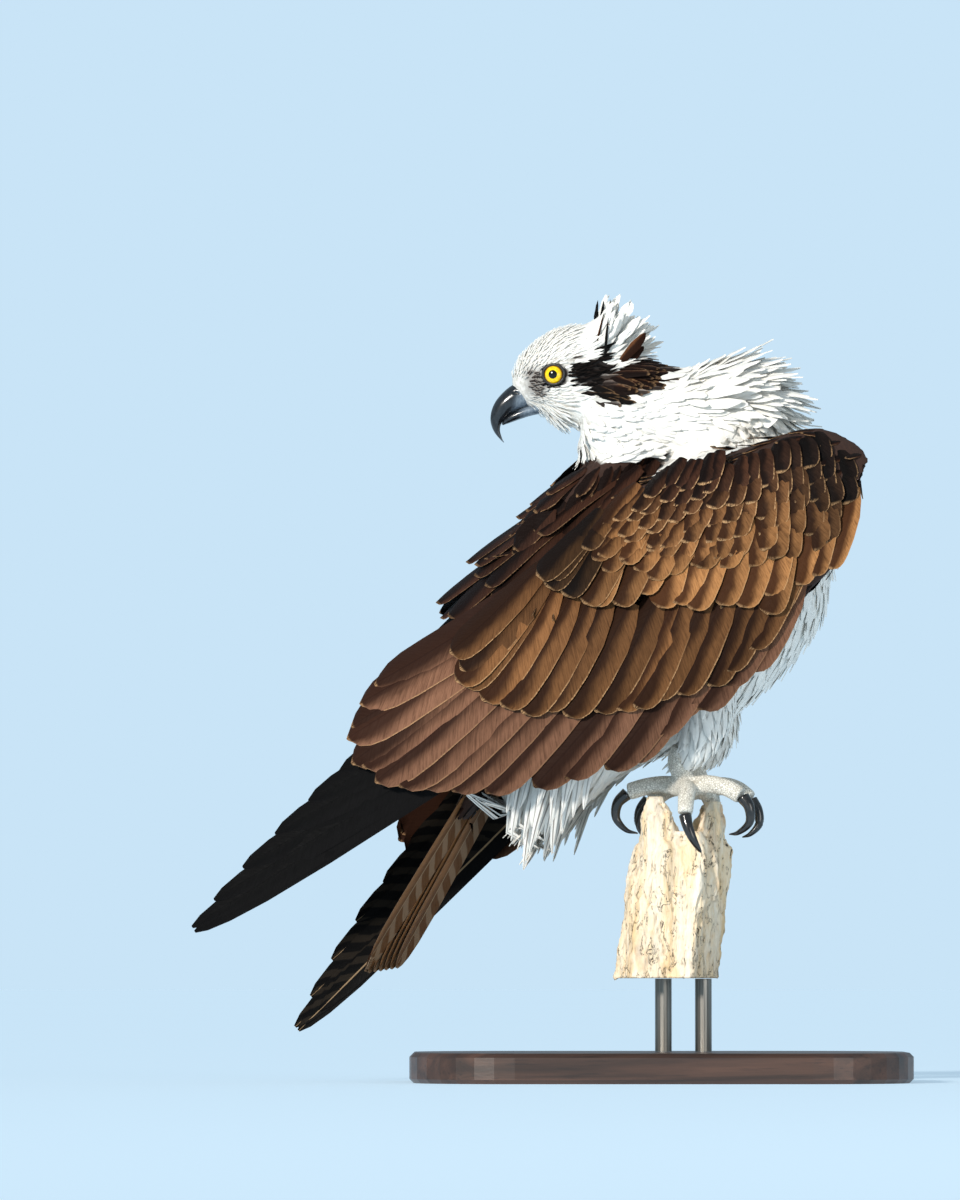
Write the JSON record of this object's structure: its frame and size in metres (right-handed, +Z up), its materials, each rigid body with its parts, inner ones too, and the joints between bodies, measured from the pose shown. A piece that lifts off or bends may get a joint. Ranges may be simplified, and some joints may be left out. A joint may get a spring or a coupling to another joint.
{
  "type": "osprey",
  "caption": "Life-size still model of an osprey on a broken tree top, wings folded, looking back over its tail, held by a plain display stand.",
  "frame": {"origin": "the centre of the underside of the stand's base", "axes": "X from the tail towards the breast, Y to the bird's left, Z up"},
  "size_m": [0.4346, 0.2011, 0.4712],
  "materials": {
    "white_feathers": "soft white body feathers",
    "brown_feathers": "matte brown vanes, pale edges",
    "dark_feathers": "matte blackish-brown quills",
    "bill": "black horn with a blue-grey base",
    "talon": "polished black horn",
    "eye": "clear and wet, yellow iris",
    "foot_skin": "pale rough scaly skin",
    "weathered_wood": "bare, dry and split",
    "stand_wood": "dark satin wood",
    "stand_metal": "satin rod"
  },
  "bodies": {
    "root": {"head": "white_feathers", "bill_upper": "bill", "bill_lower": "bill", "eye_left": "eye", "eye_right": "eye", "neck": "white_feathers", "tail": "brown_feathers", "torso": "white_feathers", "mantle": "brown_feathers", "wing_right_arm": "brown_feathers", "wing_right_hand": "dark_feathers", "leg_right": "white_feathers", "foot_right": "foot_skin", "talon_right_1": "talon", "talon_right_2": "talon", "talon_right_3": "talon", "talon_right_4": "talon", "wing_left_arm": "brown_feathers", "wing_left_hand": "dark_feathers", "leg_left": "white_feathers", "foot_left": "foot_skin", "talon_left_1": "talon", "talon_left_2": "talon", "talon_left_3": "talon", "talon_left_4": "talon", "perch": "weathered_wood", "stand_base": "stand_wood", "stand_rod_1": "stand_metal", "stand_rod_2": "stand_metal"}
  },
  "joints": []
}
